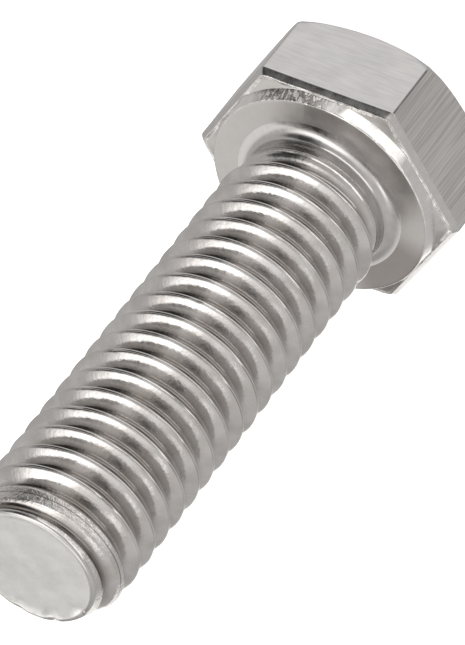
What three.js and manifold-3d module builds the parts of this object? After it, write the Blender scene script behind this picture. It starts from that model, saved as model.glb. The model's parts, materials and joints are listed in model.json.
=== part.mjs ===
// Hex cap screw, 3/8-16 UNC x 1-1/4 in, threaded up to the head, in stainless steel.
//
// The real fastener is a single piece. A blank is cold headed, the head is trimmed to a
// hexagon and the thread is rolled, so the head, the washer face, the thread and the point
// are all one body of steel. The features below are therefore joined into one mesh.
//
// Millimetres. +Z runs along the axis from the head to the tip, and the origin is the centre
// of the head's top face, so the screw stands on its head. Two flats face +Y and -Y.

import * as THREE from 'three';
import { mergeVertices } from 'three/addons/utils/BufferGeometryUtils.js';
import Module from 'manifold-3d';

const wasm = await Module();
wasm.setup();

// Driving dimensions
const INCH = 25.4;
const MAJOR_DIAMETER = 3 / 8 * INCH;
const PITCH = INCH / 16;
const LENGTH_UNDER_HEAD = 1.25 * INCH;
const ACROSS_FLATS = 14.2;
const HEAD_HEIGHT = 0.243 * INCH;
const STEEL_COLOUR = 0xb3afab;

// Head
const ACROSS_CORNERS = ACROSS_FLATS * 2 / Math.sqrt(3);
const TOP_CHAMFER_ANGLE = THREE.MathUtils.degToRad(30);
const TOP_FACE_RADIUS = 0.485 * ACROSS_FLATS;
const WASHER_FACE_THICKNESS = 0.72;
const WASHER_BASE_RADIUS = 0.486 * ACROSS_FLATS;
const WASHER_RIM_RADIUS = 0.468 * ACROSS_FLATS;
const UNDERSIDE_SLOPE = 0.25;
const ROLLED_EDGE_HEIGHT = 0.5;
const ROLLED_EDGE_DEPTH = 0.3;
const ROLLED_EDGE_STEPS = 3;

// Thread, to the 60 degree unified profile with a rolled root
const MAJOR_RADIUS = MAJOR_DIAMETER / 2;
const SHARP_HEIGHT = PITCH * Math.sqrt(3) / 2;
const ROOT_RADIUS = MAJOR_RADIUS - SHARP_HEIGHT * 11 / 16;
const CREST_WIDTH = PITCH / 8;
const FLANK_SLOPE = Math.tan(THREE.MathUtils.degToRad(30));
const RIDGE_FOOT_DEPTH = 0.2;
const CREST_HEIGHT_AT_X_AXIS = 0.22;

// Neck and point
const NECK_RADIUS = MAJOR_RADIUS - SHARP_HEIGHT * 3 / 8;
const NECK_LENGTH = 0.55 * PITCH;
const RUN_OUT_LENGTH = PITCH;
const FILLET_RADIUS = 0.6;
const FILLET_STEPS = 4;
const POINT_RADIUS = ROOT_RADIUS + 0.05;
const POINT_LENGTH = 1.4 * PITCH;
const OVERLAP = 0.5;
const CLEARANCE = 0.3;

// Round features share one division of the circle, so that their facets meet edge to edge.
const SEGMENTS = 24;

function toSolid(geometry) {
  const bare = geometry.clone();
  bare.deleteAttribute('normal');
  bare.deleteAttribute('uv');
  const merged = mergeVertices(bare, 1e-5);
  const mesh = new wasm.Mesh({
    numProp: 3,
    vertProperties: new Float32Array(merged.attributes.position.array),
    triVerts: new Uint32Array(merged.index.array),
  });
  return new wasm.Manifold(mesh);
}

function toGeometry(solid) {
  const mesh = solid.getMesh();
  const geometry = new THREE.BufferGeometry();
  geometry.setAttribute('position', new THREE.BufferAttribute(mesh.vertProperties, 3));
  geometry.setIndex(new THREE.BufferAttribute(mesh.triVerts, 1));
  geometry.computeVertexNormals();
  return geometry;
}

// A solid turned about the axis, from [radius, height] pairs that start and end on the axis.
function turned(profile) {
  const points = profile.map(([radius, height]) => new THREE.Vector2(radius, height));
  const geometry = new THREE.LatheGeometry(points, SEGMENTS);
  geometry.rotateX(Math.PI / 2);
  return toSolid(geometry);
}

// Hexagonal prism with corners on the X axis and a rolled edge at both ends. The head's top
// chamfer cuts the upper one away.
function hexPrism() {
  const outline = new THREE.Shape();
  for (let corner = 0; corner < 6; corner += 1) {
    const angle = corner * Math.PI / 3;
    const x = ACROSS_CORNERS / 2 * Math.cos(angle);
    const y = ACROSS_CORNERS / 2 * Math.sin(angle);
    if (corner === 0) outline.moveTo(x, y);
    else outline.lineTo(x, y);
  }
  outline.closePath();
  const underside = HEAD_HEIGHT - WASHER_FACE_THICKNESS;
  const geometry = new THREE.ExtrudeGeometry(outline, {
    depth: underside,
    bevelEnabled: true,
    bevelThickness: ROLLED_EDGE_HEIGHT,
    bevelSize: ROLLED_EDGE_DEPTH,
    bevelOffset: -ROLLED_EDGE_DEPTH,
    bevelSegments: ROLLED_EDGE_STEPS,
  });
  geometry.translate(0, 0, -ROLLED_EDGE_HEIGHT);
  return toSolid(geometry);
}

// The cones that take the corners off the head's top and slope its underside back.
function headCones() {
  const wideRadius = ACROSS_CORNERS / 2 + OVERLAP;
  const topConeHeight = (wideRadius - TOP_FACE_RADIUS) * Math.tan(TOP_CHAMFER_ANGLE);
  const base = HEAD_HEIGHT - WASHER_FACE_THICKNESS;
  const undersideFall = (wideRadius - WASHER_BASE_RADIUS) * UNDERSIDE_SLOPE;
  return turned([
    [0, 0],
    [TOP_FACE_RADIUS, 0],
    [wideRadius, topConeHeight],
    [wideRadius, base - undersideFall],
    [WASHER_BASE_RADIUS, base],
    [WASHER_BASE_RADIUS, base + CLEARANCE],
    [0, base + CLEARANCE],
  ]);
}

// The raised round face that bears on the joint.
function washerFace() {
  const base = HEAD_HEIGHT - WASHER_FACE_THICKNESS;
  return turned([
    [0, base - OVERLAP],
    [WASHER_BASE_RADIUS, base - OVERLAP],
    [WASHER_BASE_RADIUS, base],
    [WASHER_RIM_RADIUS, HEAD_HEIGHT],
    [0, HEAD_HEIGHT],
  ]);
}

// The plain neck at the rolling diameter, with its fillet to the bearing face, thinning down
// to the thread's root through the run-out.
function neck() {
  const profile = [
    [0, HEAD_HEIGHT - OVERLAP],
    [NECK_RADIUS + FILLET_RADIUS, HEAD_HEIGHT - OVERLAP],
  ];
  for (let step = 0; step <= FILLET_STEPS; step += 1) {
    const angle = step / FILLET_STEPS * Math.PI / 2;
    const radius = NECK_RADIUS + FILLET_RADIUS * (1 - Math.sin(angle));
    const height = HEAD_HEIGHT + FILLET_RADIUS * (1 - Math.cos(angle));
    profile.push([radius, height]);
  }
  const end = HEAD_HEIGHT + NECK_LENGTH + RUN_OUT_LENGTH;
  profile.push([NECK_RADIUS, HEAD_HEIGHT + NECK_LENGTH]);
  profile.push([ROOT_RADIUS - CLEARANCE, end]);
  profile.push([0, end]);
  return turned(profile);
}

function threadCore() {
  const tip = HEAD_HEIGHT + LENGTH_UNDER_HEAD;
  return turned([
    [0, HEAD_HEIGHT - OVERLAP],
    [ROOT_RADIUS, HEAD_HEIGHT - OVERLAP],
    [ROOT_RADIUS, tip + OVERLAP],
    [0, tip + OVERLAP],
  ]);
}

// One turn's section, crest outwards, with its foot inside the core.
function ridgeSection() {
  const footRadius = ROOT_RADIUS - RIDGE_FOOT_DEPTH;
  const halfCrest = CREST_WIDTH / 2;
  const halfFoot = halfCrest + (MAJOR_RADIUS - footRadius) * FLANK_SLOPE;
  const section = new THREE.Shape();
  section.moveTo(footRadius, -halfFoot);
  section.lineTo(MAJOR_RADIUS, -halfCrest);
  section.lineTo(MAJOR_RADIUS, halfCrest);
  section.lineTo(footRadius, halfFoot);
  section.closePath();
  return section;
}

// The thread's ridge: a straight bar of the section, wound back from beyond the tip to the
// head. Each step of the bar turns it by one segment and sinks it by its share of the pitch,
// which makes a right-hand helix.
function threadRidge() {
  const turns = Math.ceil(LENGTH_UNDER_HEAD / PITCH) + 1;
  const bar = new THREE.ExtrudeGeometry(ridgeSection(), {
    depth: turns * 2 * Math.PI,
    steps: turns * SEGMENTS,
    bevelEnabled: false,
  });
  const position = bar.attributes.position;
  const topTurn = turns;
  for (let i = 0; i < position.count; i += 1) {
    const radius = position.getX(i);
    const angle = topTurn * 2 * Math.PI - position.getZ(i);
    const rise = CREST_HEIGHT_AT_X_AXIS + PITCH * angle / (2 * Math.PI);
    const height = HEAD_HEIGHT + rise + position.getY(i);
    position.setXYZ(i, radius * Math.cos(angle), radius * Math.sin(angle), height);
  }
  return toSolid(bar);
}

// The turned shape that the thread may fill: it opens out through the run-out near the head
// and closes in at the chamfered point.
function threadEnvelope() {
  const tip = HEAD_HEIGHT + LENGTH_UNDER_HEAD;
  const openRadius = MAJOR_RADIUS + CLEARANCE;
  const runOutStart = HEAD_HEIGHT + NECK_LENGTH;
  const pointSlope = (MAJOR_RADIUS - POINT_RADIUS) / POINT_LENGTH;
  return turned([
    [0, HEAD_HEIGHT - OVERLAP],
    [NECK_RADIUS - CLEARANCE, HEAD_HEIGHT - OVERLAP],
    [NECK_RADIUS - CLEARANCE, runOutStart],
    [MAJOR_RADIUS, runOutStart + RUN_OUT_LENGTH],
    [openRadius, runOutStart + RUN_OUT_LENGTH + CLEARANCE],
    [openRadius, tip - POINT_LENGTH - CLEARANCE / pointSlope],
    [POINT_RADIUS, tip],
    [0, tip],
  ]);
}

function hexBolt() {
  const head = hexPrism().intersect(headCones()).add(washerFace());
  const thread = threadCore().add(threadRidge()).intersect(threadEnvelope());
  const solid = head.add(neck()).add(thread);
  const steel = new THREE.MeshStandardMaterial({
    color: STEEL_COLOUR,
    roughness: 0.35,
    metalness: 1,
  });
  const mesh = new THREE.Mesh(toGeometry(solid), steel);
  mesh.name = 'hex_bolt';
  return mesh;
}

const bolt = new THREE.Group();
bolt.add(hexBolt());

export default bolt;
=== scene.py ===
"""Hex cap screw, threaded up to the head, in stainless steel: its fine surface and materials.

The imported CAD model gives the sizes. The screw stands on its head, with +Z from the head to
the tip. The real one is a single forging, so one closed mesh replaces the one CAD node. The
mesh is a stack of rings from the middle of the head's top, round the head, up the thread and
in to the middle of the point. Its rows follow the thread's helix between the neck and the
point. Lengths here are in millimetres, and become metres when the mesh is made.
"""

import json
from math import cos, pi, radians, sin, sqrt, tan

import bpy
import numpy as np
from mathutils import Matrix, Vector


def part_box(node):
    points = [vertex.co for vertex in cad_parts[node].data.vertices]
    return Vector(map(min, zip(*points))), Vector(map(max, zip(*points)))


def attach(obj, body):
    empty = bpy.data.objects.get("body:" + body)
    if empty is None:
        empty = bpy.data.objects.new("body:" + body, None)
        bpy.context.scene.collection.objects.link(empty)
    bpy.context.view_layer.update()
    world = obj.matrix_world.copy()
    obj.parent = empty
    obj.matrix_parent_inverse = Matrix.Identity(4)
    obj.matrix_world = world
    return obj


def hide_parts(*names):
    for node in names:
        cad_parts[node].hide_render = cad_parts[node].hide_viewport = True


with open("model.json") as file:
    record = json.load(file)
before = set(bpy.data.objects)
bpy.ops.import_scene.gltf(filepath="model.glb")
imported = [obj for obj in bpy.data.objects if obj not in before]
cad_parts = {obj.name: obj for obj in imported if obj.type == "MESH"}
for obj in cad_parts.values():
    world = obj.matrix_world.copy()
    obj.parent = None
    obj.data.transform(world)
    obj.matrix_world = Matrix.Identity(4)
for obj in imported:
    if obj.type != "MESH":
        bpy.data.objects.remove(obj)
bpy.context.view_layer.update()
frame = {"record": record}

MM = 0.001

# Sizes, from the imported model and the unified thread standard
cad_low, cad_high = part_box("hex_bolt")
mounts = {mount["name"]: mount for mount in frame["record"]["mounts"]}
APOTHEM = (cad_high.y - cad_low.y) / MM / 2
TIP = cad_high.z / MM
BEARING = mounts["bearing_face"]["pos_m"][2] / MM
THREAD_LENGTH = TIP - BEARING
MAJOR_RADIUS = 25.4 * 3 / 16
PITCH = 25.4 / 16

# Head
CORNER_RADIUS = 0.3
UNDERSIDE_CORNER_RADIUS = 0.42
TOP_FACE_RADIUS = 0.97 * APOTHEM
CHAMFER_SLOPE = tan(radians(30))
TOP_EDGE = 0.06
WASHER_THICKNESS = 0.72
WASHER_BASE_RADIUS = 0.972 * APOTHEM
WASHER_RIM_RADIUS = 0.94 * APOTHEM
UNDERSIDE_FALL = 0.2
UNDERSIDE_TILT = 0.12
UNDERSIDE_LOW_SIDE = -30
ROLLED_EDGE_HEIGHT = 0.31
ROLLED_EDGE_BULGE = 0.01
BURR_WIDTH = 0.26
BURR_HEIGHT = 0.09

# The rounding of the chamfer's foot, what wear adds to it at the corners, and the degrees round
# from a corner that the wear reaches
CHAMFER_ROUND = 0.1
CORNER_WEAR = 0.55
CORNER_WEAR_SPREAD = 5

# How far the trimmed edge is rolled in on each flat, from the one between 0 and 60 degrees
ROLLED_EDGE_DEPTHS = (0.24, 0.22, 0.26, 0.26, 0.26, 0.23)

# Thread
SHARP_HEIGHT = PITCH * sqrt(3) / 2
SHARP_CREST = MAJOR_RADIUS + SHARP_HEIGHT / 8
CREST_ROUND = SHARP_CREST - MAJOR_RADIUS
ROOT_ROUND = 0.17 * PITCH
CREST_AT_X_AXIS = 0.22
FLANK_BULGE = 0.03
SEAM_PLACE = 0.035
SEAM_WIDTH = 0.08
SEAM_DEPTH = 0.09
SEAM_CORE = 0.022
# Painted shade in the thread's roots: its strength, and the offsets from the crest over which it comes
# in
ROOT_SHADE = 0.9
ROOT_SHADE_REACH = (0.4, 0.72)
WORN_ROUGHNESS = 0.012

# Neck, run-out and point
NECK_RADIUS = MAJOR_RADIUS - SHARP_HEIGHT * 3 / 8
FILLET_WIDTH = 0.86
FILLET_HEIGHT = 0.62
RUN_OUT_START = 0.66
RUN_OUT_END = 2.7
BLANK_MARGIN = 0.17
BLANK_SKIN_END = (2.0, 3.2)
TOOL_MARK_PLACE = 0.68
TOOL_MARK_WIDTH = 0.05
TOOL_MARK_DEPTH = 0.02
POINT_RADIUS = 0.794 * MAJOR_RADIUS
POINT_LENGTH = 2.2
POINT_EDGE_ROUND = 0.22

# Divisions of the mesh
HEAD_COLUMNS = 300
THREAD_COLUMNS = 128


def smooth(low, high, value):
    """0 below low, 1 above high and an easy curve between."""
    share = np.clip((value - low) / (high - low), 0.0, 1.0)
    return share * share * (3 - 2 * share)


def lattice(cell, seed):
    """A repeatable pseudo-random number from 0 to 1 for each whole-number cell."""
    mixed = cell[..., 0] * 73856093 ^ cell[..., 1] * 19349663 ^ cell[..., 2] * 83492791
    mixed = (mixed ^ seed * 2654435761) & 0x7FFFFFFF
    mixed = (mixed * 1103515245 + 12345) & 0x7FFFFFFF
    mixed = (mixed ^ mixed >> 13) * 1274126177 & 0x7FFFFFFF
    return (mixed & 0xFFFF) / 65535.0


def value_noise(points, size, seed):
    """Smooth noise from -1 to 1 with features about size wide."""
    places = points / size
    base = np.floor(places).astype(np.int64)
    part = places - base
    part = part * part * (3 - 2 * part)
    total = 0.0
    for corner in np.ndindex(2, 2, 2):
        offset = np.array(corner)
        weight = np.prod(np.where(offset, part, 1 - part), axis=-1)
        total = total + weight * lattice(base + offset, seed)
    return 2 * total - 1


def on_circle(radius, angle, height):
    """Points from cylindrical coordinates."""
    radius, angle, height = np.broadcast_arrays(radius, angle, height)
    return np.stack([radius * np.cos(angle), radius * np.sin(angle), height], axis=-1)


def turn_from(angle, degrees):
    """Turn from a place round the axis, from -pi to pi."""
    return (angle - radians(degrees) + pi) % (2 * pi) - pi


# The camera, at the photograph's viewing angle


def add_camera():
    """A long lens from the tip's side, rolled so that the screw leans up to the right."""
    azimuth, elevation, roll = radians(33.38), radians(37.54), radians(142.25)
    distance = 350.24
    aim = Vector((0.12, -1.12, BEARING + 11.5))
    forward = Vector((-sin(azimuth) * cos(elevation), cos(azimuth) * cos(elevation), -sin(elevation)))
    level_right = forward.cross(Vector((0, 0, 1))).normalized()
    level_up = level_right.cross(forward)
    up = level_up * cos(roll) + level_right * sin(roll)
    right = forward.cross(up)
    turn = Matrix((right, up, -forward)).transposed().to_4x4()
    data = bpy.data.cameras.new("camera")
    data.sensor_width = 36.0
    data.lens = 360.6
    data.clip_start = 0.01
    camera = bpy.data.objects.new("camera", data)
    camera.matrix_world = Matrix.Translation((aim - forward * distance) * MM) @ turn
    bpy.context.scene.collection.objects.link(camera)
    bpy.context.scene.camera = camera
    return right, up, -forward


# The outline of the head


def head_angles():
    """Even columns, with more beside the six corners to round them."""
    even = np.arange(HEAD_COLUMNS) * 2 * pi / HEAD_COLUMNS
    near = np.radians([-1.25, -0.75, -0.5, -0.25, 0.25, 0.5, 0.75, 1.25])
    extra = (np.arange(6)[:, None] * pi / 3 + near).ravel() % (2 * pi)
    return np.unique(np.round(np.concatenate([even, extra]), 9))


def turn_from_corner(angle):
    """Turn from the nearest corner of the hexagon, from -pi/6 to pi/6."""
    return (angle + pi / 6) % (pi / 3) - pi / 6


def hexagon(angle, inset=0.0, corner=CORNER_RADIUS):
    """Radius of the hexagon's rounded outline, with corners on the X axis."""
    from_corner = turn_from_corner(angle)
    flat = (APOTHEM - inset) / np.cos(pi / 6 - np.abs(from_corner))
    middle = (APOTHEM - inset - corner) / cos(pi / 6)
    reach = np.arctan2(corner / 2, middle + corner * cos(pi / 6))
    inside = np.maximum(corner**2 - (middle * np.sin(from_corner)) ** 2, 0)
    rounded = middle * np.cos(from_corner) + np.sqrt(inside)
    return np.where(np.abs(from_corner) < reach, rounded, flat)


def rolled_depth(angle):
    """How far the lower edge is rolled in, with the corners eased from one flat to the next."""
    knots = []
    depths = []
    for side, depth in enumerate(ROLLED_EDGE_DEPTHS):
        knots += [60 * side + 5, 60 * side + 55]
        depths += [depth, depth]
    steady = np.interp(np.degrees(angle), knots, depths, period=360)
    place = on_circle(APOTHEM, angle, 0.0)
    return steady + 0.012 * value_noise(place, 1.1, 5) + 0.008 * value_noise(place, 0.3, 6)


def head_rings(angle):
    """(zone, radius, height) rings from the middle of the head's top to the neck."""
    outline = hexagon(angle)
    one = np.ones_like(angle)
    rings = []

    def ring(zone, radius, height):
        """Adds a ring, even where its radius or height is one number."""
        rings.append((zone, radius * one, height * one))

    # Top face and chamfer
    for share in (0.1, 0.3, 0.5, 0.7, 0.85, 0.95, 0.985):
        ring("top", share * TOP_FACE_RADIUS, 0.0)
    ring("top", TOP_FACE_RADIUS - TOP_EDGE, 0.0)
    ring("top", TOP_FACE_RADIUS, 0.2 * TOP_EDGE)
    nearness = np.exp(-((turn_from_corner(angle) / radians(CORNER_WEAR_SPREAD)) ** 2))
    rounding = CHAMFER_ROUND + CORNER_WEAR * nearness
    span = outline - TOP_FACE_RADIUS
    chamfer = span - rounding / 2
    for share in (0.15, 0.4, 0.65, 0.85):
        ring("chamfer", TOP_FACE_RADIUS + share * chamfer, share * chamfer * CHAMFER_SLOPE)
    flat_start = span * CHAMFER_SLOPE + rounding * tan(pi / 6)
    for turn in (pi / 3, pi / 4.5, pi / 9, 0):
        zone = "chamfer" if turn == pi / 3 else "flat"
        ring(zone, outline - rounding * (1 - cos(turn)), flat_start - rounding * sin(turn))

    # Flats
    depth = rolled_depth(angle)
    edge_radius = hexagon(angle, depth, UNDERSIDE_CORNER_RADIUS)
    base_height = BEARING - WASHER_THICKNESS
    fall = UNDERSIDE_FALL - UNDERSIDE_TILT * np.cos(angle - radians(UNDERSIDE_LOW_SIDE))
    edge_height = base_height - fall
    base = np.minimum(WASHER_BASE_RADIUS, edge_radius - 0.12)
    flat_end = edge_height - ROLLED_EDGE_HEIGHT

    def underside_height(radius):
        """The underside slopes back from the washer face to the head's straight lower edge."""
        return base_height - fall * (radius - base) / (edge_radius - base)

    for share in (0.03, 0.12, 0.25, 0.4, 0.55, 0.7, 0.85, 0.94):
        ring("flat", outline, flat_start + share * (flat_end - flat_start))
    ring("flat", outline, flat_end - 0.02)

    # Rolled edge, with the burr that the trimming leaves
    for step in range(0, 9):
        share = step / 8
        corner = CORNER_RADIUS + (UNDERSIDE_CORNER_RADIUS - CORNER_RADIUS) * share
        bulge = ROLLED_EDGE_BULGE * sin(pi * share)
        height = flat_end + ROLLED_EDGE_HEIGHT * share + bulge
        ring("edge", hexagon(angle, depth * max(share, 0.02), corner), height)
    place = on_circle(APOTHEM, angle, 0.0)
    ragged = 0.75 + 0.55 * value_noise(place, 0.45, 7) + 0.4 * value_noise(place, 0.16, 8)
    burr = BURR_HEIGHT * np.maximum(ragged, 0.1)
    burr_end = np.maximum(edge_radius - BURR_WIDTH, base + 0.02)
    for share, lift in ((0.07, 0.75), (0.2, 1.0), (0.4, 0.7), (0.7, 0.3), (1.0, 0.0)):
        radius = edge_radius + share * (burr_end - edge_radius)
        ring("burr", radius, underside_height(radius) + lift * burr)

    # Underside and the washer face's wall
    for share in (0.25, 0.55, 0.8, 0.94):
        radius = burr_end + share * (base - burr_end)
        ring("underside", radius, underside_height(radius))
    ring("underside", base, base_height)
    for share in (0.05, 0.15, 0.28, 0.42, 0.56, 0.7, 0.84, 0.95):
        height = base_height * (1 - share) + BEARING * share
        place = on_circle(WASHER_BASE_RADIUS, angle, height)
        rough = value_noise(place * (1, 1, 0.35), 0.22, 9) + 0.7 * value_noise(place, 0.45, 10)
        radius = base + share * (WASHER_RIM_RADIUS - base) + 0.008 * rough * sin(pi * share)
        ring("wall", radius, height)
    rim = WASHER_RIM_RADIUS + 0.02 * value_noise(on_circle(WASHER_RIM_RADIUS, angle, 0.0), 0.4, 11)
    ring("wall", rim, BEARING - 0.03)
    ring("wall", rim - 0.035, BEARING - 0.006)

    # Bearing face and the fillet to the neck
    foot = NECK_RADIUS + FILLET_WIDTH
    for share in (0.06, 0.15, 0.3, 0.5, 0.7, 0.88, 0.97):
        radius = WASHER_RIM_RADIUS + share * (foot - WASHER_RIM_RADIUS)
        wave = 0.006 * value_noise(on_circle(radius, angle, 0.0), 1.2, 12)
        ring("bearing", radius, BEARING + wave * sin(pi * share))
    for step in range(0, 11):
        turn = step / 10 * pi / 2
        radius = NECK_RADIUS + FILLET_WIDTH * (1 - sin(turn))
        ring("fillet", radius, BEARING + FILLET_HEIGHT * (1 - cos(turn)))
    return rings


# Where the washer face's wall is scraped, the side below the flats that is darkened as painted shade,
# and where the point's end is scraped and painted with a highlight along its lower edge: degrees round
# from the X axis, and half the width in degrees
SCRAPE = (-14, 26)
SHADED_SIDE = (-160, 40)
END_HIGHLIGHT = (165, 55)


def patch(angle, place):
    """1 inside a patch round the screw, with soft ends."""
    middle, half_width = place
    return 1 - smooth(0.4, 1.0, np.abs(turn_from(angle, middle)) / radians(half_width))


def head_wear_and_shade(zone, angle):
    """(wear, painted shade) of a ring round the head."""
    wear_and_highlight = patch(angle, SCRAPE) if zone == "wall" else 0.0
    # Painted shade below the flats on one side, which shows on the burr, underside and bearing face
    painted_shade = 0.0 if zone in ("top", "chamfer", "flat") else patch(angle, SHADED_SIDE)
    return wear_and_highlight, painted_shade


# The thread


def thread_radius(offset):
    """Radius of the thread's profile at an axial offset from the crest's middle."""
    along = np.abs(offset)
    crest_end = CREST_ROUND * cos(pi / 6)
    root_end = PITCH / 2 - ROOT_ROUND * cos(pi / 6)
    crest_centre = SHARP_CREST - 2 * CREST_ROUND
    root_centre = SHARP_CREST - SHARP_HEIGHT + 2 * ROOT_ROUND
    share = np.clip((along - crest_end) / (root_end - crest_end), 0, 1)
    flank = SHARP_CREST - along * sqrt(3) + FLANK_BULGE * np.sin(pi * share)
    crest = crest_centre + np.sqrt(np.maximum(CREST_ROUND**2 - along**2, 0))
    root = root_centre - np.sqrt(np.maximum(ROOT_ROUND**2 - (PITCH / 2 - along) ** 2, 0))
    return np.where(along < crest_end, crest, np.where(along > root_end, root, flank))


def thread_offsets():
    """Axial places of the mesh rows over one pitch, closest on the crest and round its seam."""
    crest = [-0.13, -0.095, -0.065, -0.035, -0.01, 0.01, 0.025, 0.035, 0.045, 0.06, 0.08, 0.105, 0.135]
    flank = [0.18, 0.26, 0.36, 0.46, 0.55, 0.63, 0.71]
    offsets = [-place for place in reversed(flank)] + crest + flank + [PITCH / 2]
    return np.array(offsets)


def point_radius(height):
    """Radius of the chamfered point's cone, by height above the bearing face."""
    slope = (MAJOR_RADIUS - POINT_RADIUS) / POINT_LENGTH
    return POINT_RADIUS + slope * (THREAD_LENGTH - height)


# How far the rolled thread has crept along the screw from its even pitch: at the head, then for
# each millimetre above it, then for each millimetre squared
DRIFT = (-0.32, 0.0325, -0.0005)


def drift(height):
    """How far the thread has crept at a height above the bearing face."""
    start, rate, bend = DRIFT
    return start + rate * height + bend * height**2


def soft_min(first, second, width):
    """The lower of two values, with their crossing eased over width."""
    share = np.clip(0.5 + (second - first) / (2 * width), 0, 1)
    return second + (first - second) * share - width * share * (1 - share)


# Small dents from handling: (degrees round from the X axis, height above the bearing face,
# width round, width along, depth)
DENTS = (
    (-44.0, 4.0, 0.35, 0.1, 0.07),
    (-8.0, 19.3, 0.2, 0.2, 0.06),
    (-13.0, 24.1, 0.22, 0.16, 0.05),
    (-73.0, 10.0, 0.3, 0.12, 0.06),
    (-71.0, 28.6, 0.4, 0.12, 0.06),
    (-35.0, 14.5, 0.2, 0.2, 0.05),
    (96.0, 7.5, 0.3, 0.15, 0.06),
    (170.0, 18.0, 0.25, 0.2, 0.05),
)


def dent_depth(angle, height):
    """How deep the thread is dented."""
    depth = 0.0
    for degrees, along, width, length, deep in DENTS:
        around = turn_from(angle, degrees) * MAJOR_RADIUS
        spread = (around / width) ** 2 + ((height - along) / length) ** 2
        depth = depth + deep * np.exp(-spread)
    return depth


def shank_surface(angle, height, offset):
    """(radius, wear, painted shade) of the shank: wear is 1 on the blank's own skin, painted shade 1 in
    the roots and seam.
    """
    radius = thread_radius(offset)
    place = on_circle(MAJOR_RADIUS, angle, height)
    wander = 0.012 * value_noise(place, 0.9, 3)
    strength = 0.75 + 0.45 * value_noise(place, 1.7, 4)
    across = offset - SEAM_PLACE - wander
    lap = np.exp(-((across / np.where(across < 0, SEAM_WIDTH, SEAM_CORE)) ** 2))
    seam_shade = np.exp(-((across / SEAM_CORE) ** 2))
    radius = radius - SEAM_DEPTH * strength * lap
    radius = radius - dent_depth(angle, height)
    grown = smooth(RUN_OUT_START, RUN_OUT_END, height)
    radius = NECK_RADIUS + (radius - NECK_RADIUS) * grown
    # Painted shade: the roots and the line of the crest's seam are darkened
    painted_shade = (ROOT_SHADE * smooth(*ROOT_SHADE_REACH, np.abs(offset)) + seam_shade) * grown
    marked = smooth(-0.2, 0.4, value_noise(place, 3.0, 13))
    tool_mark = marked * np.exp(-(((height - TOOL_MARK_PLACE) / TOOL_MARK_WIDTH) ** 2))
    radius = radius - TOOL_MARK_DEPTH * tool_mark
    skin = NECK_RADIUS + BLANK_MARGIN + 2 * smooth(*BLANK_SKIN_END, height)
    cone = point_radius(height)
    limit = np.minimum(skin, cone)
    wear_and_highlight = smooth(-0.01, 0.03, radius - limit)
    radius = soft_min(radius, limit, 0.025)
    rough = value_noise(place, 0.3, 14) + 0.6 * value_noise(place * (1, 1, 2), 0.6, 15)
    return radius + WORN_ROUGHNESS * wear_and_highlight * rough, wear_and_highlight, np.clip(painted_shade, 0, 1)


def thread_rows():
    """(row starts, rows in a pitch): height above the bearing face at angle 0."""
    offsets = thread_offsets()[:-1]
    turns = np.arange(-1, int(THREAD_LENGTH / PITCH) + 2)
    starts = (CREST_AT_X_AXIS + turns[:, None] * PITCH + offsets).ravel()
    return starts, np.tile(offsets, len(turns)), len(offsets)


# Nicks in the point's edge: (degrees round from the X axis, half width in degrees, depth)
NICKS = (
    (137.0, 5.0, 0.1),
    (168.0, 4.0, 0.14),
    (205.0, 5.0, 0.14),
    (60.0, 5.0, 0.05),
)


def nick_depth(angle, share):
    """How deep the point's end is nicked, by angle and by share of its radius."""
    depth = 0.0
    for degrees, width, deep in NICKS:
        depth = depth + deep * np.exp(-((turn_from(angle, degrees) / radians(width)) ** 2))
    return depth * smooth(0.78, 1.0, share)


def end_scuffs_and_highlight(angle, share):
    """1 where the point's end is pale: scraped bright at its nicks, and a painted highlight in broken
    patches along its lower edge.
    """
    place = on_circle(share * POINT_RADIUS, angle, 0.0)
    broken = smooth(-0.1, 0.5, value_noise(place, 0.3, 18)) * smooth(0.8, 0.97, share)
    # Pale at the nicks, and a painted highlight in broken patches along the lower edge
    return np.clip(9 * nick_depth(angle, share) + 0.8 * broken * patch(angle, END_HIGHLIGHT), 0, 1)


def point_rings(angle):
    """(zone, radius, height, wear and painted highlight) rings from the point's edge to the middle of
    its end.
    """
    rings = []
    edge_radius = point_radius(THREAD_LENGTH - POINT_EDGE_ROUND)
    flat_radius = POINT_RADIUS - POINT_EDGE_ROUND
    for step in range(1, 7):
        turn = step / 6 * pi / 2
        radius = flat_radius + (edge_radius - flat_radius) * cos(turn)
        height = TIP - POINT_EDGE_ROUND * (1 - sin(turn))
        nicked = height - nick_depth(angle, 1.0) * sin(turn)
        rings.append(("rim", radius + 0 * angle, nicked, end_scuffs_and_highlight(angle, 1.0)))
    for share in (0.98, 0.95, 0.91, 0.86, 0.8, 0.73, 0.65, 0.56, 0.46, 0.35, 0.24, 0.12):
        place = on_circle(share * flat_radius, angle, 0.0)
        wave = 0.012 * value_noise(place, 0.9, 16) + 0.006 * value_noise(place, 0.35, 17) - 0.02
        nicked = TIP + wave - nick_depth(angle, share)
        rings.append(("end", share * flat_radius + 0 * angle, nicked, end_scuffs_and_highlight(angle, share)))
    return rings


# The mesh


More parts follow.
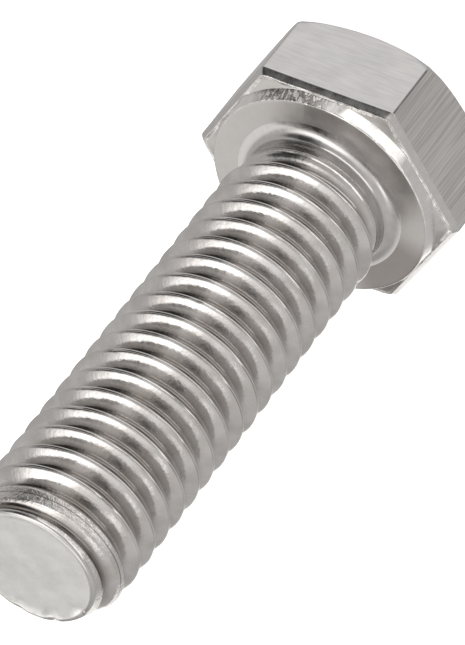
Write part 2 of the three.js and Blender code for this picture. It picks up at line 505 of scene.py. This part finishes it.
class Builder:
    """Collects vertices, faces and the zone of each face."""

    def __init__(self):
        self.blocks = []
        self.wear_and_highlight = []
        self.painted_shade = []
        self.count = 0
        self.faces = []
        self.zones = []

    def add(self, points, wear_and_highlight=0.0, painted_shade=0.0):
        """Adds vertices and returns their numbers."""
        first = self.count
        self.blocks.append(np.asarray(points).reshape(-1, 3))
        self.wear_and_highlight.append(wear_and_highlight + np.zeros(len(self.blocks[-1])))
        self.painted_shade.append(painted_shade + np.zeros(len(self.blocks[-1])))
        self.count += len(self.blocks[-1])
        return np.arange(first, self.count)

    def face(self, corners, zone):
        """Adds a face, unless corners that fall together leave it without an area."""
        ordered = list(dict.fromkeys(int(corner) for corner in corners))
        if len(ordered) > 2:
            self.faces.append(ordered)
            self.zones.append(zone)

    def band(self, lower, upper, zone):
        """Faces between two rings with the same columns."""
        for here in range(len(lower)):
            after = (here + 1) % len(lower)
            self.face((lower[here], lower[after], upper[after], upper[here]), zone)

    def zip(self, lower, lower_angle, upper, upper_angle, zone):
        """Triangles between two rings with different columns, both starting at angle 0."""
        low, high = 0, 0
        low_end = np.append(lower_angle, 2 * pi)
        high_end = np.append(upper_angle, 2 * pi)
        never = 4 * pi
        while low < len(lower) or high < len(upper):
            here_low, here_high = lower[low % len(lower)], upper[high % len(upper)]
            low_next = low_end[low + 1] if low < len(lower) else never
            high_next = high_end[high + 1] if high < len(upper) else never
            if low_next <= high_next:
                low += 1
                self.face((here_low, lower[low % len(lower)], here_high), zone)
            else:
                high += 1
                self.face((here_low, upper[high % len(upper)], here_high), zone)


def build_head(builder):
    """The head up to the top of its fillet. Returns the last ring and its angles."""
    angle = head_angles()
    centre = builder.add([(0, 0, 0)])[0]
    previous = None
    for zone, radius, height in head_rings(angle):
        ring = builder.add(on_circle(radius, angle, height), *head_wear_and_shade(zone, angle))
        if previous is None:
            for here in range(len(ring)):
                builder.face((centre, ring[(here + 1) % len(ring)], ring[here]), zone)
        else:
            builder.band(previous, ring, zone)
        previous = ring
    return previous, angle


def build_thread(builder, head_ring, head_angle):
    """The shank, in rows that climb with the helix and stop at a level ring at either end."""
    angle = np.arange(THREAD_COLUMNS) * 2 * pi / THREAD_COLUMNS
    climb = PITCH * angle / (2 * pi)
    low, high = RUN_OUT_START, THREAD_LENGTH - POINT_EDGE_ROUND
    bottom = builder.add(on_circle(NECK_RADIUS, angle, BEARING + low))
    builder.zip(head_ring, head_angle, bottom, angle, "fillet")
    starts, offsets, per_pitch = thread_rows()
    even = starts[:, None] + climb
    height = even + drift(even)
    offset = offsets[:, None] + 0 * angle
    radius, wear_and_highlight, painted_shade = shank_surface(angle + 0 * height, height, offset)
    top_height = high + 0 * angle

    # The even height that has crept to the top ring's, in two steps
    even_high = high - drift(high - drift(high))
    top_offset = (even_high - CREST_AT_X_AXIS - climb + PITCH / 2) % PITCH - PITCH / 2
    top_radius, top_wear, top_shade = shank_surface(angle, top_height, top_offset)
    top = builder.add(on_circle(top_radius, angle, BEARING + high), top_wear, top_shade)
    margin = 0.012
    index = np.full(height.shape, -1)
    inside = (height > low + margin) & (height < high - margin)
    points = on_circle(radius, angle + 0 * height, BEARING + height)
    index[inside] = builder.add(points[inside], wear_and_highlight[inside], painted_shade[inside])
    index = np.where(height <= low + margin, bottom, index)
    index = np.where(height >= high - margin, top, index)
    rows = len(starts)
    for row in range(rows - 1):
        for column in range(THREAD_COLUMNS):
            if column + 1 < THREAD_COLUMNS:
                right_low, right_high = index[row, column + 1], index[row + 1, column + 1]
            elif row + 1 + per_pitch < rows:
                right_low, right_high = index[row + per_pitch, 0], index[row + per_pitch + 1, 0]
            else:
                continue
            corners = (index[row, column], right_low, right_high, index[row + 1, column])
            builder.face(corners, "thread")
    return top, angle


def build_point(builder, previous, angle):
    """The point's rounded edge and its end."""
    for zone, radius, height, wear_and_highlight in point_rings(angle):
        ring = builder.add(on_circle(radius, angle, height), wear_and_highlight)
        builder.band(previous, ring, zone)
        previous = ring
    centre = builder.add([(0, 0, TIP)])[0]
    for here in range(len(previous)):
        builder.face((previous[here], previous[(here + 1) % len(previous)], centre), "end")


ZONES = {
    "top": "satin_steel",
    "chamfer": "satin_steel",
    "flat": "drawn_steel",
    "edge": "rolled_steel",
    "burr": "torn_steel",
    "underside": "forged_steel",
    "wall": "pressed_steel",
    "bearing": "forged_steel",
    "fillet": "rolled_steel",
    "thread": "thread_steel",
    "rim": "rolled_steel",
    "end": "sheared_steel",
}

# Half of the angle that a rounded corner of the head takes up, in degrees
CORNER_SHARE = 0.95

# The flats whose trimming marks are rubbed smooth, by the angle they face in degrees
SATIN_FLATS = (90, 210, 330)


def face_material(zone, middle):
    """The material of a face, by its zone and, on the flats, by the side that it is on."""
    if zone == "flat":
        degrees = np.degrees(np.arctan2(middle[1], middle[0])) % 360
        facing = 60 * int(degrees // 60) + 30
        if abs(degrees - facing) > 30 - CORNER_SHARE:
            return "rolled_steel"
        return "satin_steel" if facing in SATIN_FLATS else "drawn_steel"
    return ZONES[zone]


def make_bolt(materials):
    """The whole screw as one object, with a material for each zone."""
    builder = Builder()
    ring, angle = build_head(builder)
    ring, angle = build_thread(builder, ring, angle)
    build_point(builder, ring, angle)
    points = np.concatenate(builder.blocks)
    mesh = bpy.data.meshes.new("hex_bolt_surface")
    mesh.from_pydata((points * MM).tolist(), [], builder.faces)
    names = list(materials)
    for name in names:
        mesh.materials.append(materials[name])
    slots = []
    for zone, corners in zip(builder.zones, builder.faces):
        slots.append(names.index(face_material(zone, points[corners].mean(axis=0))))
    mesh.polygons.foreach_set("material_index", slots)
    mesh.polygons.foreach_set("use_smooth", [True] * len(mesh.polygons))
    for name, blocks in (("wear_and_highlight", builder.wear_and_highlight), ("painted_shade", builder.painted_shade)):
        attribute = mesh.attributes.new(name, "FLOAT", "POINT")
        attribute.data.foreach_set("value", np.concatenate(blocks).astype(np.float32))
    mesh.update()
    bolt = bpy.data.objects.new("hex_bolt_surface", mesh)
    bpy.context.scene.collection.objects.link(bolt)
    return bolt


# Materials


class Surface:
    """A bare metal material, with the node steps that its colour, roughness and bumps share.

    The first colour and roughness are plain ones, for a viewer that doesn't follow the nodes.
    """

    def __init__(self, name, colour, roughness):
        self.material = bpy.data.materials.new(name)
        self.material.use_nodes = True
        self.nodes = self.material.node_tree.nodes
        self.links = self.material.node_tree.links
        self.shader = self.nodes["Principled BSDF"]
        self.shader.inputs["Base Color"].default_value = (*colour, 1)
        self.shader.inputs["Metallic"].default_value = 1.0
        self.shader.inputs["Roughness"].default_value = roughness
        self.place = self.nodes.new("ShaderNodeTexCoord").outputs["Object"]
        self.normal = None

    def vector_step(self, operation, first, second=None):
        """A vector operation on an output, with another output or a fixed vector if it needs one."""
        node = self.nodes.new("ShaderNodeVectorMath")
        node.operation = operation
        self.links.new(first, node.inputs[0])
        if isinstance(second, tuple):
            node.inputs[1].default_value = second
        elif second is not None:
            self.links.new(second, node.inputs[1])
        return node.outputs["Vector"]

    def grain(self, across, along):
        """Places whose noise has this many features in a millimetre across and along the axis."""
        return self.vector_step("MULTIPLY", self.place, (across / MM, across / MM, along / MM))

    def round_grain(self, around, along):
        """The same on the shank's cylinder, so that features run straight up and down a flank."""
        circle = self.vector_step("NORMALIZE", self.vector_step("MULTIPLY", self.place, (1, 1, 0)))
        level = self.vector_step("MULTIPLY", self.place, (0, 0, along / MM))
        wide = self.vector_step("MULTIPLY", circle, (around * MAJOR_RADIUS,) * 3)
        return self.vector_step("ADD", wide, level)

    def noise(self, vector, detail=3.0, distortion=0.0):
        """Noise from 0 to 1 with features of about one unit of vector."""
        node = self.nodes.new("ShaderNodeTexNoise")
        node.inputs["Scale"].default_value = 1.0
        node.inputs["Detail"].default_value = detail
        node.inputs["Distortion"].default_value = distortion
        self.links.new(vector, node.inputs["Vector"])
        return node.outputs["Fac"]

    def attribute(self, name):
        """The mesh's wear and painted highlight, or its painted shade."""
        node = self.nodes.new("ShaderNodeAttribute")
        node.attribute_name = name
        return node.outputs["Fac"]

    def remap(self, value, low, high, start=0.3, end=0.7):
        """Eases from low to high as value goes from start to end."""
        node = self.nodes.new("ShaderNodeMapRange")
        node.interpolation_type = "SMOOTHSTEP"
        for name, amount in (("From Min", start), ("From Max", end), ("To Min", low), ("To Max", high)):
            node.inputs[name].default_value = amount
        self.links.new(value, node.inputs["Value"])
        return node.outputs["Result"]

    def combine(self, operation, first, second):
        """A number operation on two outputs."""
        node = self.nodes.new("ShaderNodeMath")
        node.operation = operation
        self.links.new(first, node.inputs[0])
        self.links.new(second, node.inputs[1])
        return node.outputs["Value"]

    def blend(self, kind, share, first, second):
        """Mixes two colours, each fixed or an output, and makes the result the base colour."""
        node = self.nodes.new("ShaderNodeMix")
        node.data_type = "RGBA"
        node.blend_type = kind
        for name, colour in (("A", first), ("B", second)):
            if isinstance(colour, tuple):
                node.inputs[name].default_value = (*colour, 1)
            else:
                self.links.new(colour, node.inputs[name])
        self.links.new(share, node.inputs["Factor"])
        self.links.new(node.outputs["Result"], self.shader.inputs["Base Color"])
        return node.outputs["Result"]

    def tint(self, share, dark, pale):
        """Colour between dark and pale by share."""
        return self.blend("MIX", share, dark, pale)

    def soil(self, colour, share, dark):
        """Darkens a colour by share, down to dark times itself."""
        return self.blend("MULTIPLY", share, colour, dark)

    def scuff(self, colour, share, pale):
        """Turns a colour to pale by share."""
        return self.blend("MIX", share, colour, pale)

    def roughen(self, value, low, high, start=0.3, end=0.7):
        """Roughness from low to high by value."""
        self.links.new(self.remap(value, low, high, start, end), self.shader.inputs["Roughness"])

    def bump(self, height, depth, strength=1.0):
        """Adds a bump whose full range is depth millimetres."""
        node = self.nodes.new("ShaderNodeBump")
        node.inputs["Strength"].default_value = strength
        node.inputs["Distance"].default_value = depth * MM
        self.links.new(height, node.inputs["Height"])
        if self.normal is not None:
            self.links.new(self.normal, node.inputs["Normal"])
        self.normal = node.outputs["Normal"]
        self.links.new(self.normal, self.shader.inputs["Normal"])


def satin_steel():
    """Pale rubbed flats: a fine grain across the axis, and faint clouds."""
    surface = Surface("satin_steel", (0.68, 0.67, 0.67), 0.36)
    grain = surface.noise(surface.grain(0.6, 7.0), 4.0)
    clouds = surface.noise(surface.grain(0.8, 0.8), 3.0)
    surface.tint(surface.remap(grain, 0.0, 1.0), (0.63, 0.62, 0.63), (0.71, 0.695, 0.695))
    surface.roughen(clouds, 0.32, 0.42)
    surface.bump(grain, 0.004)
    surface.bump(surface.noise(surface.grain(6.0, 6.0), 2.0), 0.003)
    return surface.material


def drawn_steel():
    """Flats with the lines of the trimming die, parallel to the axis."""
    surface = Surface("drawn_steel", (0.58, 0.56, 0.55), 0.34)
    lines = surface.noise(surface.grain(13.0, 0.2), 4.0)
    fine = surface.noise(surface.grain(16.0, 0.4), 3.0)
    clouds = surface.noise(surface.grain(0.9, 0.6), 3.0)
    surface.tint(surface.remap(lines, 0.0, 1.0), (0.5, 0.485, 0.475), (0.74, 0.72, 0.7))
    surface.roughen(clouds, 0.28, 0.4)
    surface.bump(lines, 0.006)
    surface.bump(fine, 0.004)
    return surface.material


def rolled_steel():
    """Smooth formed edges and fillets, with light marks along them."""
    surface = Surface("rolled_steel", (0.6, 0.58, 0.57), 0.26)
    clouds = surface.noise(surface.grain(2.0, 2.0), 3.0)
    surface.tint(clouds, (0.54, 0.53, 0.525), (0.68, 0.66, 0.645))
    surface.roughen(clouds, 0.16, 0.26)
    surface.bump(surface.noise(surface.grain(3.0, 3.0), 3.0), 0.004)
    return surface.material


def torn_steel():
    """The burr: broken, pitted metal with short upright marks, darkened on one side as painted shade.
    """
    surface = Surface("torn_steel", (0.66, 0.64, 0.62), 0.3)
    upright = surface.noise(surface.grain(4.5, 1.6), 4.0, 0.5)
    pits = surface.noise(surface.grain(7.0, 6.0), 3.0)
    marks = surface.remap(upright, 0.0, 1.0, 0.35, 0.65)
    pale = surface.tint(marks, (0.62, 0.6, 0.59), (0.86, 0.845, 0.83))
    # Painted shade darkens one side of the burr
    surface.soil(pale, surface.attribute("painted_shade"), (0.5, 0.48, 0.47))
    surface.roughen(pits, 0.2, 0.42)
    surface.bump(upright, 0.02)
    surface.bump(pits, 0.008)
    return surface.material


def pressed_steel():
    """The washer face's wall: bright, with fine upright marks and some dark pits."""
    surface = Surface("pressed_steel", (0.66, 0.64, 0.62), 0.24)
    upright = surface.noise(surface.grain(3.0, 0.8), 3.0, 0.3)
    broken = surface.remap(surface.noise(surface.grain(5.0, 2.0), 3.0), 0.0, 1.0, 0.42, 0.58)
    scraped = surface.combine("MULTIPLY", broken, surface.attribute("wear_and_highlight"))
    pale = surface.tint(upright, (0.7, 0.685, 0.67), (0.9, 0.885, 0.87))
    surface.soil(pale, scraped, (0.4, 0.38, 0.37))
    surface.roughen(upright, 0.18, 0.28)
    surface.bump(upright, 0.008)
    surface.bump(scraped, 0.04)
    return surface.material


def forged_steel():
    """The underside and bearing face, dull and slightly uneven, darkened on one side as painted shade.
    """
    surface = Surface("forged_steel", (0.59, 0.57, 0.555), 0.36)
    clouds = surface.noise(surface.grain(0.9, 0.9), 4.0)
    fine = surface.noise(surface.grain(6.0, 6.0), 3.0)
    clean = surface.tint(surface.remap(clouds, 0.0, 1.0), (0.53, 0.515, 0.5), (0.6, 0.58, 0.565))
    # Painted shade darkens one side of the underside and bearing face
    surface.soil(clean, surface.attribute("painted_shade"), (0.56, 0.53, 0.52))
    surface.roughen(clouds, 0.3, 0.44)
    surface.bump(fine, 0.005)
    surface.bump(clouds, 0.02)
    return surface.material


def thread_steel():
    """Rolled thread: bright, with fine cross marks, painted shade in the roots and seam, and scratches
    where it is worn.
    """
    surface = Surface("thread_steel", (0.61, 0.59, 0.575), 0.2)
    cross = surface.noise(surface.round_grain(5.0, 0.9), 4.0)
    clouds = surface.noise(surface.grain(0.7, 0.7), 3.0)
    pits = surface.noise(surface.grain(5.0, 5.0), 3.0)
    scratches = surface.noise(surface.round_grain(3.0, 5.0), 4.0, 0.8)
    wear_and_highlight = surface.attribute("wear_and_highlight")
    clean = surface.tint(surface.remap(clouds, 0.0, 1.0), (0.6, 0.575, 0.555), (0.7, 0.685, 0.675))
    # Painted shade darkens the roots and the seam
    surface.soil(clean, surface.attribute("painted_shade"), (0.31, 0.285, 0.265))
    base = surface.remap(pits, 0.11, 0.19)
    worn = surface.remap(wear_and_highlight, 0.0, 0.14, 0.0, 1.0)
    surface.links.new(surface.combine("ADD", base, worn), surface.shader.inputs["Roughness"])
    surface.bump(cross, 0.006)
    surface.bump(pits, 0.008)
    surface.bump(surface.combine("MULTIPLY", scratches, wear_and_highlight), 0.05)
    return surface.material


def sheared_steel():
    """The point's end: matt, cloudy and finely pitted, pale where it is scraped at its nicks, with a
    painted highlight along its lower edge.
    """
    surface = Surface("sheared_steel", (0.6, 0.59, 0.58), 0.48)
    clouds = surface.noise(surface.grain(0.8, 0.8), 4.0)
    fine = surface.noise(surface.grain(4.0, 4.0), 4.0)
    dull = surface.tint(surface.remap(clouds, 0.0, 1.0), (0.66, 0.655, 0.645), (0.75, 0.74, 0.725))
    # Pale where scraped at the nicks, and a painted highlight along the end's lower edge
    surface.scuff(dull, surface.attribute("wear_and_highlight"), (0.98, 0.97, 0.96))
    surface.roughen(fine, 0.42, 0.54)
    surface.bump(fine, 0.012)
    return surface.material


def make_materials():
    """Every material by its name."""
    makers = (
        satin_steel,
        drawn_steel,
        rolled_steel,
        torn_steel,
        pressed_steel,
        forged_steel,
        thread_steel,
        sheared_steel,
    )
    return {maker.__name__: maker() for maker in makers}


# The floor and the light


def add_floor():
    """A pale floor that the polished steel doesn't mirror."""
    mesh = bpy.data.meshes.new("floor")
    half = 1.5
    corners = [(-half, -half, 0), (half, -half, 0), (half, half, 0), (-half, half, 0)]
    mesh.from_pydata(corners, [], [(0, 1, 2, 3)])
    floor = bpy.data.objects.new("floor", mesh)
    bpy.context.scene.collection.objects.link(floor)
    material = bpy.data.materials.new("pale_floor")
    material.use_nodes = True
    shader = material.node_tree.nodes["Principled BSDF"]
    shader.inputs["Base Color"].default_value = (0.9, 0.9, 0.9, 1)
    shader.inputs["Roughness"].default_value = 0.9
    shader.inputs["Emission Color"].default_value = (1, 1, 1, 1)
    shader.inputs["Emission Strength"].default_value = 0.9
    mesh.materials.append(material)
    floor.visible_glossy = False


class Studio:
    """A grey surround with soft lights, placed by (right, up, back) directions from the camera."""

    def __init__(self, axes, level):
        self.axes = axes
        world = bpy.data.worlds.new("studio")
        bpy.context.scene.world = world
        world.use_nodes = True
        self.nodes = world.node_tree.nodes
        self.links = world.node_tree.links
        self.background = self.nodes["Background"]
        self.background.inputs["Color"].default_value = (1.0, 0.985, 0.965, 1)
        self.place = self.nodes.new("ShaderNodeTexCoord").outputs["Generated"]
        self.level = level
        self.darkest = 0.03
        self.total = None

    def turned(self, direction):
        """A direction in the scene from one in the camera's axes."""
        right, up, back = self.axes
        return (right * direction[0] + up * direction[1] + back * direction[2]).normalized()

    def dot(self, aim):
        """Cosine of the angle from aim, over the surround."""
        node = self.nodes.new("ShaderNodeVectorMath")
        node.operation = "DOT_PRODUCT"
        node.inputs[1].default_value = aim
        self.links.new(self.place, node.inputs[0])
        return node.outputs["Value"]

    def math(self, operation, first, second=None):
        """A number operation on one or two outputs."""
        node = self.nodes.new("ShaderNodeMath")
        node.operation = operation
        self.links.new(first, node.inputs[0])
        if second is not None:
            self.links.new(second, node.inputs[1])
        return node.outputs["Value"]

    def fade(self, value, start, end, strength=1.0):
        """Eases from 0 to strength as value goes from start to end."""
        node = self.nodes.new("ShaderNodeMapRange")
        node.interpolation_type = "SMOOTHSTEP"
        node.inputs["From Min"].default_value = start
        node.inputs["From Max"].default_value = end
        node.inputs["To Min"].default_value = 0.0
        node.inputs["To Max"].default_value = strength
        self.links.new(value, node.inputs["Value"])
        return node.outputs["Result"]

    def add(self, light):
        """Adds a light to the others."""
        self.total = light if self.total is None else self.math("ADD", self.total, light)

    def glow(self, direction, inner, outer, strength):
        """A round light, full inside inner degrees and gone outside outer. A negative one is a gap."""
        value = self.dot(self.turned(direction))
        self.add(self.fade(value, cos(radians(outer)), cos(radians(inner)), strength))

    def strip(self, direction, towards, length, width, soft, strength):
        """A long light of half size length by width degrees, running towards another direction."""
        centre = self.turned(direction)
        along = self.turned(towards)
        along = (along - centre * along.dot(centre)).normalized()
        across = centre.cross(along)
        front = self.fade(self.dot(centre), 0.0, 0.1, strength)
        ends = self.math("ABSOLUTE", self.dot(along))
        sides = self.math("ABSOLUTE", self.dot(across))
        ends = self.fade(ends, sin(radians(length + soft)), sin(radians(length - soft)))
        sides = self.fade(sides, sin(radians(width + soft)), sin(radians(width - soft)))
        self.add(self.math("MULTIPLY", self.math("MULTIPLY", ends, sides), front))

    def finish(self):
        """Lights the surround with the level and all the lights, and leaves no gap quite black."""
        node = self.nodes.new("ShaderNodeMath")
        node.operation = "ADD"
        node.inputs[1].default_value = self.level
        self.links.new(self.total, node.inputs[0])
        lit = self.nodes.new("ShaderNodeMath")
        lit.operation = "MAXIMUM"
        lit.inputs[1].default_value = self.darkest
        self.links.new(node.outputs["Value"], lit.inputs[0])
        self.links.new(lit.outputs["Value"], self.background.inputs["Strength"])


def add_light(axes):
    """The studio: each glow's angles are in degrees."""
    studio = Studio(axes, 0.56)
    # A long box over the camera's right shoulder, and a soft one at its left
    studio.strip((0.5, 0.36, 0.78), (-0.1, 0.74, 0.66), 44, 8, 4, 1.3)
    studio.strip((-0.69, -0.31, 0.66), (-0.4, -0.2, 0.9), 24, 12, 11, 1.5)
    studio.glow((-0.35, -0.42, 0.84), 10, 30, 0.35)
    studio.strip((-0.45, -0.8, 0.34), (-0.1, -0.88, 0.45), 26, 8, 5, 1.0)
    studio.glow((0.3, -0.75, 0.55), 20, 50, 0.12)
    # The overhead light, and the bright cove below and behind
    studio.glow((-0.05, 0.97, 0.2), 10, 40, 0.4)
    studio.glow((-0.75, -0.62, -0.2), 10, 28, 0.45)
    studio.glow((0.2, -0.45, -0.87), 8, 24, 0.9)
    studio.glow((-0.33, -0.5, -0.8), 3, 10, 1.4)
    # The dark room between them
    studio.glow((-0.8, 0.3, 0.52), 12, 30, -0.5)
    studio.glow((-0.4, 0.75, 0.52), 12, 28, -0.45)
    studio.glow((0.69, 0.67, 0.27), 8, 19, -0.38)
    studio.glow((-0.3, -0.8, -0.52), 8, 20, -0.15)
    studio.finish()


axes = add_camera()
bolt = make_bolt(make_materials())
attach(bolt, "root")
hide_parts("hex_bolt")
add_floor()
add_light(axes)
bpy.context.scene.view_settings.view_transform = "Standard"
